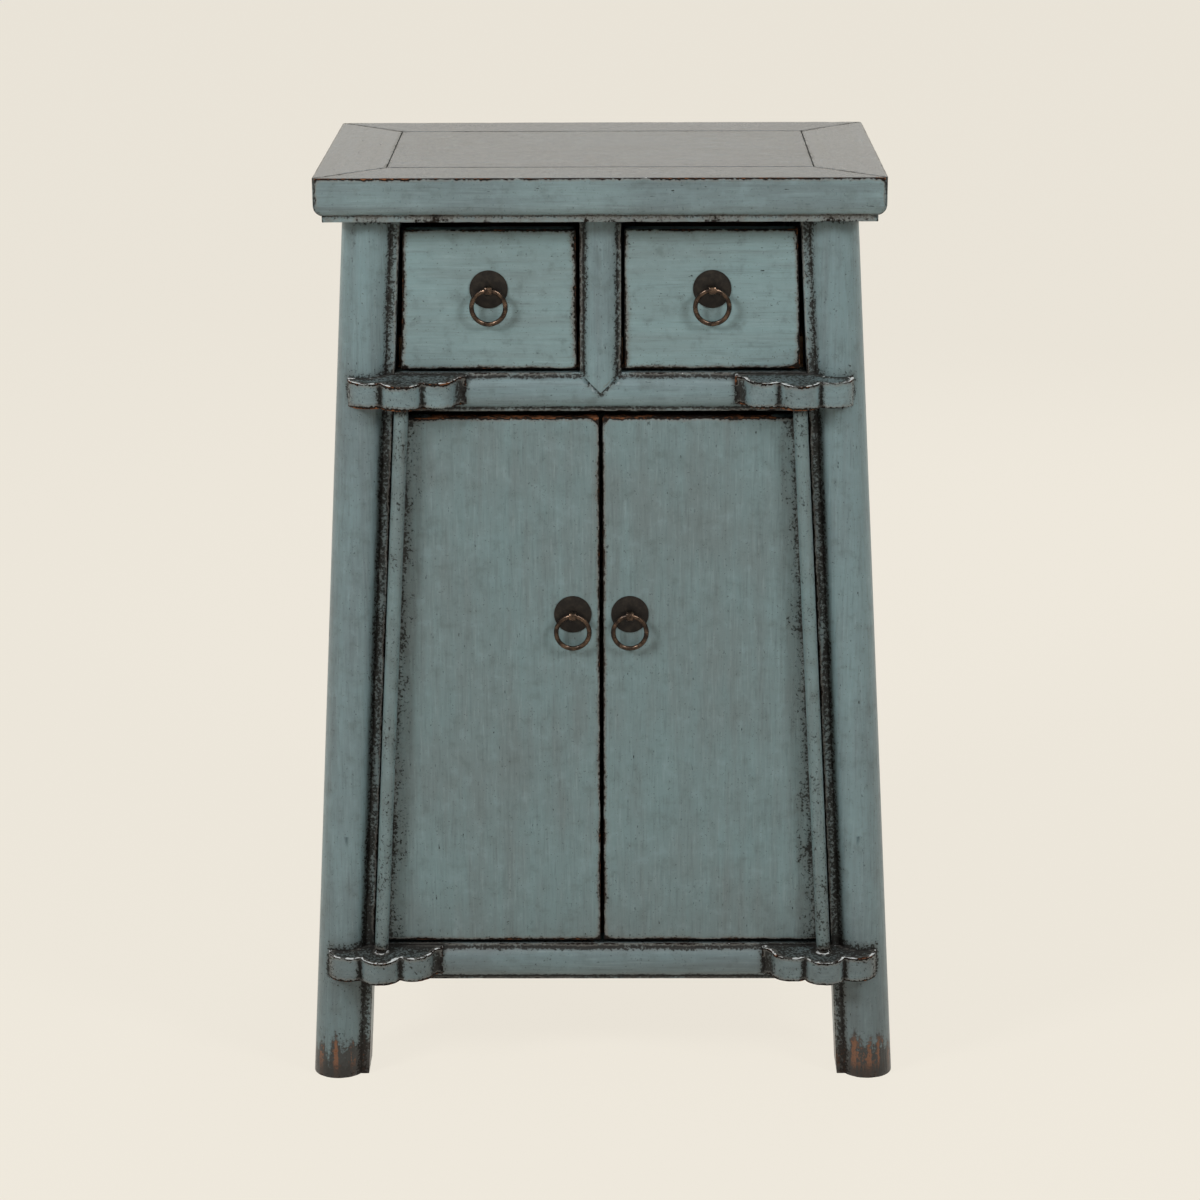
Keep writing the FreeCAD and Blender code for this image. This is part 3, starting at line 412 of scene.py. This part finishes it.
# Front rails and the stile between the drawers.
# Hardwood rails with a crowned face between two thin strips; the stile ends in a point let into the rail.
# They are tenoned into the posts before lacquering, so dirt sits in the strips and along the joints.
rail_lacquer = lacquer("rail_lacquer", LEVEL, GREEN, GREY_GREEN, roughness=0.34, mottle=0.08)
upright_lacquer = lacquer("upright_lacquer", UPRIGHT, GREEN, GREY_GREEN, roughness=0.34)
for node in ("mid_rail", "lower_rail"):
    worked(node, "lacquer", rail_lacquer, arris=0.0010, side=0.005, soil=0.005, crease_soil=0.005,
           left_out=("center_stile",), flush="center_stile")
worked("center_stile", "lacquer", upright_lacquer, arris=0.0010, side=0.004, soil=0.005, crease_soil=0.009,
       left_out=("rail",), flush="mid_rail")


# Side and back of the case.
# Thin boards held in grooves of the posts and of plain rails, lacquered as one with them.
# The floor board is set in from below and left bare.
depth_lacquer = lacquer("depth_lacquer", DEEP, GREEN, GREY_GREEN, roughness=0.36)
for hand in ("left", "right"):
    worked(f"{hand}_side_panel", "lacquer", upright_lacquer, arris=0.0008, side=0.009, soil=0.014,
           crease_soil=0.01)
    for level in ("upper", "lower"):
        worked(f"{hand}_{level}_side_rail", "lacquer", depth_lacquer, arris=0.0010, side=0.007, soil=0.006,
               crease_soil=0.006)
worked("back_panel", "lacquer", upright_lacquer, arris=0.0008, side=0.010, soil=0.014, crease_soil=0.01,
       left_out=("middle_back_rail",))
for level in ("upper", "middle", "lower"):
    worked(f"{level}_back_rail", "lacquer", rail_lacquer, arris=0.0010, side=0.008, soil=0.006,
           crease_soil=0.006)


def bare_timber(name, grain):
    """Planed softwood, never finished: pale and dark growth bands, pores, and dirt in the corners."""
    material, tree, shader = new_finish(name)
    place = step(tree, "TexCoord", {}, "Object")
    along = step(tree, "Mapping", {"Vector": place, "Scale": grain})
    band = grains(tree, along, 0.012, 3)
    pore = grains(tree, along, 0.0016, 3)
    stain = grains(tree, place, 0.07)
    shade = cover(tree, ramp(tree, band, 0.35, 0.65), paint(150, 116, 82), paint(112, 80, 52))
    shade = cover(tree, ramp(tree, pore, 0.55, 0.75, 0.6), shade, paint(70, 47, 30))
    shade = cover(tree, ramp(tree, stain, 0.5, 0.75, 0.5), shade, paint(86, 66, 48))
    soil = attribute(tree, "grime")
    shade = cover(tree, ramp(tree, sum_of(tree, soil, stain, 0.5), 0.8, 1.3, 0.7), shade, paint(44, 32, 24))
    tree.links.new(shade, shader.inputs["Base Color"])
    tree.links.new(sum_of(tree, ramp(tree, band, 0.2, 0.8, 0.15), pore, 0.9), shader.inputs["Roughness"])
    bump = step(tree, "Bump", {"Height": pore, "Strength": 0.3, "Distance": 0.0006})
    tree.links.new(bump, shader.inputs["Normal"])
    return material


level_timber = bare_timber("level_timber", LEVEL)
deep_timber = bare_timber("deep_timber", DEEP)
worked("floor_board", "bare_wood", level_timber, arris=0.0006, side=0.014, soil=0.010, crease_soil=0.008)


# Drawer runners.
# Plain rebated strips from the front rail to the back, nailed on after the case was lacquered.
for node in ("left_drawer_runner", "middle_drawer_runner", "right_drawer_runner"):
    worked(node, "bare_wood", deep_timber, arris=0.0006, side=0.012, soil=0.004, crease_soil=0.005)


# Top.
# A mitred frame with an ogee edge holds a thin panel, with one batten across below it.
# The upper face is polished grey by use; the front arris is rubbed to the ground and the wood.
TOP_GREY = paint(104, 113, 122)
TOP_DARK = paint(91, 97, 105)
TOP_EDGE = paint(116, 136, 138)
FACE_RISE = 0.8
FACE_DEPTH = 0.0012
BEAD_DROP = 0.022
BEAD_WEAR = 0.7
# The top's edges get a few painted white highlights on their upward lips.
top_level = lacquer("top_level_lacquer", LEVEL, TOP_EDGE, GREY_GREEN, roughness=0.3, rub=0.22, glint_amount=0.1)
top_deep = lacquer("top_deep_lacquer", DEEP, TOP_EDGE, GREY_GREEN, roughness=0.3, rub=0.22, glint_amount=0.1)
top_face = lacquer("top_face_lacquer", LEVEL, TOP_GREY, TOP_DARK, roughness=0.22)
top_face_deep = lacquer("top_face_deep_lacquer", DEEP, TOP_GREY, TOP_DARK, roughness=0.22)


def grey_face(piece, material):
    """Gives the upward face of a top piece its greyer polish, and spares the bead below the edge."""
    piece.data.materials.append(material)
    highest = max(vertex.co.z for vertex in piece.data.vertices)
    for face in piece.data.polygons:
        if face.normal.z > FACE_RISE and face.center.z > highest - FACE_DEPTH:
            face.material_index = 1
    wear = piece.data.attributes["wear"].data
    for vertex in piece.data.vertices:
        if vertex.co.z < highest - BEAD_DROP:
            wear[vertex.index].value *= BEAD_WEAR


for node, edge_finish, face_finish in (("top_front_member", top_level, top_face),
                                       ("top_back_member", top_level, top_face),
                                       ("top_left_member", top_deep, top_face_deep),
                                       ("top_right_member", top_deep, top_face_deep)):
    member = worked(node, "top_lacquer", edge_finish, arris=0.0012, side=0.005, soil=0.0025,
                    crease_soil=0.005)
    grey_face(member, face_finish)
panel = worked("top_panel", "top_lacquer", top_level, arris=0.0006, side=0.007, soil=0.0025,
               crease_soil=0.004)
grey_face(panel, top_face)
worked("top_batten", "bare_wood", deep_timber, arris=0.0008, side=0.012, soil=0.004, crease_soil=0.005)


# Pole brackets.
# Lobed blocks cut from thick board, let in against post and rail, with a blind socket for the door pole.
# Their lips stand out of the case, so they are the most knocked and rubbed pieces of it.
# The brackets get the strongest painted white highlights, on the upward lips.
bracket_lacquer = lacquer("bracket_lacquer", LEVEL, GREEN, GREY_GREEN, roughness=0.3, rub=0.2, glint_amount=0.5,
                          mottle=0.25)
for hand in ("left", "right"):
    for level in ("upper", "lower"):
        worked(f"{hand}_{level}_bracket", "lacquer", bracket_lacquer, arris=0.0022, side=0.003, soil=0.014,
               crease_soil=0.006, chew=0.0009, ledge=0.5)


# Doors.
# Each door is one flat board glued to a stile that is planed down from the same stick as the round pole.
# Two battens are let in across the back. The lacquer runs over the joint, and dirt lies beside the pole.
END_REACH = 0.0014
POLE_CLEAR = 0.003
POLE_SOIL = 0.42


def rub_ends(piece, node, worn_top, worn_foot):
    """Wears the end arrises of one node of a piece through to the wood."""
    wear = piece.data.attributes["wear"].data
    low, high = node_boxes[node]
    for vertex in piece.data.vertices:
        if gap(node, vertex.co) > JOINT_REACH:
            continue
        if vertex.co.z > high.z - END_REACH:
            wear[vertex.index].value = max(wear[vertex.index].value, worn_top)
        elif vertex.co.z < low.z + END_REACH:
            wear[vertex.index].value = max(wear[vertex.index].value, worn_foot)


def soil_pole(piece, board):
    """Dulls the pole, which stands clear of the board and is handled and knocked."""
    grime = piece.data.attributes["grime"].data
    for vertex in piece.data.vertices:
        if gap(board, vertex.co) > POLE_CLEAR:
            grime[vertex.index].value = max(grime[vertex.index].value, POLE_SOIL)


door_lacquer = lacquer("door_lacquer", UPRIGHT, paint(105, 127, 129), paint(101, 115, 116), roughness=0.34,
                       rub=0.1)
for hand in ("left", "right"):
    door = worked(f"{hand}_door_board", "lacquer", door_lacquer, arris=0.0012, side=0.006, soil=0.008,
                  crease_soil=0.012, left_out=("battens",), glued_to=f"{hand}_door_pole_stile")
    rub_ends(door, f"{hand}_door_board", worn_top=1.0, worn_foot=0.88)
    soil_pole(door, f"{hand}_door_board")
    worked(f"{hand}_door_battens", "bare_wood", level_timber, arris=0.0010, side=0.012, soil=0.004,
           crease_soil=0.005)


# Drawers.
# A lacquered front with bare sides, back and floor, rebated and nailed together.
# The fronts stand in their openings with a dark gap, and their lower arris is rubbed to the wood.
drawer_lacquer = lacquer("drawer_lacquer", LEVEL, paint(118, 142, 144), paint(112, 130, 131),
                         roughness=0.34, rub=0.15)
for hand in ("left", "right"):
    worked(f"{hand}_drawer_front", "lacquer", drawer_lacquer, arris=0.0012, side=0.005, soil=0.010,
           crease_soil=0.005, left_out=("drawer",), chew=0.0008)
    for part, timber in (("outer_side", deep_timber), ("inner_side", deep_timber), ("back", level_timber),
                         ("floor", level_timber)):
        worked(f"{hand}_drawer_{part}", "bare_wood", timber, arris=0.0006, side=0.014, soil=0.006,
               crease_soil=0.006)


# Ring pulls.
# A dark round plate of sheet brass, a folded staple driven through it, and a loose cast ring.
# The plates are patinated nearly black; staples and rings are rubbed bright where fingers reach.
def aged_metal(name, dark, bright, patina_low, patina_high, roughness):
    """Bare metal, dark with age and bright in patches, between the two patina levels."""
    material, tree, shader = new_finish(name)
    place = step(tree, "TexCoord", {}, "Object")
    patina = grains(tree, place, 0.006)
    fine = grains(tree, place, 0.0009, 3)
    shade = cover(tree, ramp(tree, sum_of(tree, patina, fine, 0.3), patina_low, patina_high), dark, bright)
    shader.inputs["Metallic"].default_value = 1
    tree.links.new(shade, shader.inputs["Base Color"])
    tree.links.new(sum_of(tree, roughness, fine, 0.25), shader.inputs["Roughness"])
    bump = step(tree, "Bump", {"Height": patina, "Strength": 0.2, "Distance": 0.0004})
    tree.links.new(bump, shader.inputs["Normal"])
    return material


plate_metal = aged_metal("plate_bronze", paint(44, 42, 41), paint(60, 56, 52), patina_low=0.5,
                         patina_high=0.9, roughness=0.42)
ring_metal = aged_metal("ring_brass", paint(48, 41, 37), paint(112, 92, 77), patina_low=0.5,
                        patina_high=0.95, roughness=0.14)


RING_STEPS = 64
WIRE_STEPS = 16


def pull_ring_tree(material):
    """The ring of a pull as a round wire bent into a circle, standing in the plane of its front."""
    tree = bpy.data.node_groups.new("pull_ring", "GeometryNodeTree")
    tree.interface.new_socket("Geometry", in_out="OUTPUT", socket_type="NodeSocketGeometry")
    sizes = {"Ring Radius": "NodeSocketFloat", "Wire Radius": "NodeSocketFloat",
             "Centre": "NodeSocketVector", "Tilt": "NodeSocketVector"}
    sockets = {}
    for label, kind in sizes.items():
        sockets[label] = tree.interface.new_socket(label, in_out="INPUT", socket_type=kind).identifier
    given = tree.nodes.new("NodeGroupInput")
    circle = tree.nodes.new("GeometryNodeCurvePrimitiveCircle")
    circle.inputs["Resolution"].default_value = RING_STEPS
    wire = tree.nodes.new("GeometryNodeCurvePrimitiveCircle")
    wire.inputs["Resolution"].default_value = WIRE_STEPS
    swept = tree.nodes.new("GeometryNodeCurveToMesh")
    placed = tree.nodes.new("GeometryNodeTransform")
    realised = tree.nodes.new("GeometryNodeRealizeInstances")
    finished = tree.nodes.new("GeometryNodeSetMaterial")
    finished.inputs["Material"].default_value = material
    result = tree.nodes.new("NodeGroupOutput")
    tree.links.new(given.outputs["Ring Radius"], circle.inputs["Radius"])
    tree.links.new(given.outputs["Wire Radius"], wire.inputs["Radius"])
    tree.links.new(circle.outputs["Curve"], swept.inputs["Curve"])
    tree.links.new(wire.outputs["Curve"], swept.inputs["Profile Curve"])
    tree.links.new(swept.outputs["Mesh"], placed.inputs["Geometry"])
    tree.links.new(given.outputs["Centre"], placed.inputs["Translation"])
    tree.links.new(given.outputs["Tilt"], placed.inputs["Rotation"])
    tree.links.new(placed.outputs["Geometry"], realised.inputs["Geometry"])
    tree.links.new(realised.outputs["Geometry"], finished.inputs["Geometry"])
    tree.links.new(finished.outputs["Geometry"], result.inputs[0])
    return tree, sockets


ring_tree, ring_sockets = pull_ring_tree(ring_metal)
for hand in ("left", "right"):
    for place in ("drawer", "door"):
        worked(f"{hand}_{place}_backplate", "plate_bronze", plate_metal, arris=0.0004, side=0.003,
               soil=0.002, crease_soil=0.002, wobble=0.0001)
        worked(f"{hand}_{place}_staple", "ring_brass", ring_metal, arris=0.0005, side=0.003, soil=0.002,
               crease_soil=0.002, wobble=0.0001)
        ring_node = f"{hand}_{place}_ring"
        low, high = node_boxes[ring_node]
        wire_radius = (high.y - low.y) / 2
        blank = put(ring_node + "_blank", bpy.data.meshes.new(ring_node + "_blank"))
        bending = blank.modifiers.new("bending", "NODES")
        bending.node_group = ring_tree
        bending[ring_sockets["Ring Radius"]] = (high.x - low.x) / 2 - wire_radius
        bending[ring_sockets["Wire Radius"]] = wire_radius
        bending[ring_sockets["Centre"]] = (low + high) / 2
        bending[ring_sockets["Tilt"]] = (math.radians(90), 0, 0)
        bent = blank.evaluated_get(bpy.context.evaluated_depsgraph_get())
        ring = put(ring_node + "_finish", bpy.data.meshes.new_from_object(bent))
        bpy.data.objects.remove(blank)
        ring.data.shade_smooth()
        hold(ring, "ring_brass", ring_node)


# Floor, light and camera.
# A pale floor that runs past the view, before a backdrop of the same tone, seen through a long lens.
# Two soft lights in front and a dim one behind give no mirror image; two high ones give only the glints.
def seen_directly(tree):
    """One for rays from the camera, in gloss or through glass, and nothing for the rest."""
    path = tree.nodes.new("ShaderNodeLightPath")
    seen = larger(tree, path.outputs["Is Camera Ray"], path.outputs["Is Glossy Ray"])
    return larger(tree, seen, path.outputs["Is Transmission Ray"])


BEIGE = paint(236, 230, 218)
SHADOW_SHARE = 0.08
FLOOR_GLOW = 1.045
FLOOR_HALF = 20
floor_material, floor_tree, floor_shader = new_finish("pale_floor")
floor_shader.inputs["Base Color"].default_value = BEIGE
floor_shader.inputs["Roughness"].default_value = 0.9
floor_shader.inputs["Specular IOR Level"].default_value = 0
floor_glow = step(floor_tree, "Emission", {"Color": BEIGE, "Strength": FLOOR_GLOW})
floor_share = product(floor_tree, seen_directly(floor_tree), 1 - SHADOW_SHARE)
floor_mix = step(floor_tree, "MixShader", {0: floor_share, 1: floor_shader.outputs[0], 2: floor_glow})
floor_tree.links.new(floor_mix, floor_tree.nodes["Material Output"].inputs["Surface"])
floor_mesh = bpy.data.meshes.new("floor")
floor_mesh.from_pydata([(-FLOOR_HALF, -FLOOR_HALF, 0), (FLOOR_HALF, -FLOOR_HALF, 0),
                        (FLOOR_HALF, FLOOR_HALF, 0), (-FLOOR_HALF, FLOOR_HALF, 0)], [], [(0, 1, 2, 3)])
floor_mesh.materials.append(floor_material)
floor = put("floor", floor_mesh)

ROOM_LIGHT = 0.16
BACKDROP_LIGHT = 0.978
world = bpy.data.worlds.new("studio")
bpy.context.scene.world = world
world.use_nodes = True
world_tree = world.node_tree
room = world_tree.nodes["Background"]
room.inputs["Color"].default_value = paint(244, 243, 241)
room.inputs["Strength"].default_value = ROOM_LIGHT
backdrop = step(world_tree, "Background", {"Color": BEIGE, "Strength": BACKDROP_LIGHT})
sky = step(world_tree, "MixShader", {0: seen_directly(world_tree), 1: room.outputs[0], 2: backdrop})
world_tree.links.new(sky, world_tree.nodes["World Output"].inputs["Surface"])


LAMP_AIM = Vector((0, 0, 0.4))


def soft_light(name, place, size, power, glossy=True, diffuse=True):
    """A square lamp aimed at the piece. Glossy says whether it is mirrored, diffuse whether it lights."""
    lamp = put(name, bpy.data.lights.new(name, "AREA"))
    lamp.visible_glossy = glossy
    lamp.visible_diffuse = diffuse
    lamp.data.size = size
    lamp.data.energy = power
    lamp.location = place
    lamp.rotation_euler = (LAMP_AIM - Vector(place)).to_track_quat("-Z", "Y").to_euler()


soft_light("left_softbox", (-2.0, -1.8, 2.0), size=0.7, power=54, glossy=False)
soft_light("right_softbox", (2.0, -1.8, 2.0), size=0.7, power=41, glossy=False)
soft_light("left_glint", (-1.3, -1.5, 3.0), size=0.7, power=45, diffuse=False)
soft_light("right_glint", (1.3, -1.5, 3.0), size=0.7, power=35, diffuse=False)
soft_light("back_softbox", (0.8, 2.4, 1.6), size=1.2, power=18, glossy=False)

SENSOR = 36
LENS = 100.457
PITCH, YAW, ROLL = 0.28036, -0.00751, -0.00351
CAMERA_SIDE, CAMERA_BACK, CAMERA_RISE = 0.020655, 3.05848, 0.45081
camera = put("camera", bpy.data.cameras.new("camera"))
camera.data.sensor_width = SENSOR
camera.data.lens = LENS
top_low, top_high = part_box("top_panel")
top_middle = (top_low + top_high) / 2
ahead = Vector((math.sin(YAW) * math.cos(PITCH), math.cos(YAW) * math.cos(PITCH), -math.sin(PITCH)))
level_right = Vector((math.cos(YAW), -math.sin(YAW), 0))
level_up = level_right.cross(ahead)
right = math.cos(ROLL) * level_right + math.sin(ROLL) * level_up
upward = math.cos(ROLL) * level_up - math.sin(ROLL) * level_right
camera.matrix_world = Matrix((right, upward, -ahead)).transposed().to_4x4()
camera.location = (CAMERA_SIDE, top_middle.y - CAMERA_BACK, cad_box[1].z + CAMERA_RISE)
bpy.context.scene.camera = camera
bpy.context.scene.view_settings.view_transform = "Standard"
